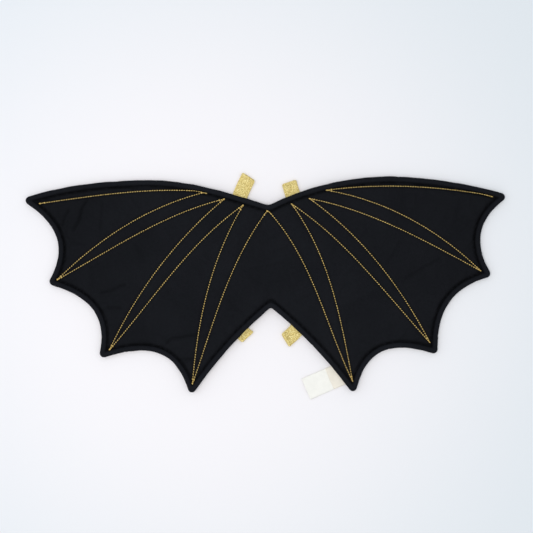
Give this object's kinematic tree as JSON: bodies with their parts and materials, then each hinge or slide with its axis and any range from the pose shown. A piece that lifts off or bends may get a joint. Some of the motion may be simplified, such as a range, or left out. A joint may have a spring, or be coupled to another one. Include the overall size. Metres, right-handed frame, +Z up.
{
  "type": "costume bat wings",
  "caption": "Padded dark cloth bat wings with scalloped piped edge, fan-shaped gold quilting, gold elastic arm straps and a bare sewn-in label, laid flat.",
  "frame": {"origin": "middle of the footprint, on the surface that the wings lie on", "axes": "+X along the span, from the left wing to the right as seen from the front; +Y towards the top edge; +Z up from the surface, out of the wings' front"},
  "size_m": [0.7002, 0.3316, 0.0105],
  "materials": {
    "cloth": "matte black padded cloth, slightly felted, with gold top-stitched quilting",
    "piping": "matte black cloth rolled round a soft core",
    "elastic": "gold glitter elastic, finely ribbed, sparkling",
    "label_white": "white satin ribbon, soft sheen",
    "label_cream": "cream satin ribbon, soft sheen"
  },
  "bodies": {
    "root": {"wing_panel": "cloth", "piping": "piping", "strap_left": "elastic", "strap_right": "elastic", "label_care_leaf": "label_white", "label_short_leaf": "label_cream"}
  },
  "joints": []
}
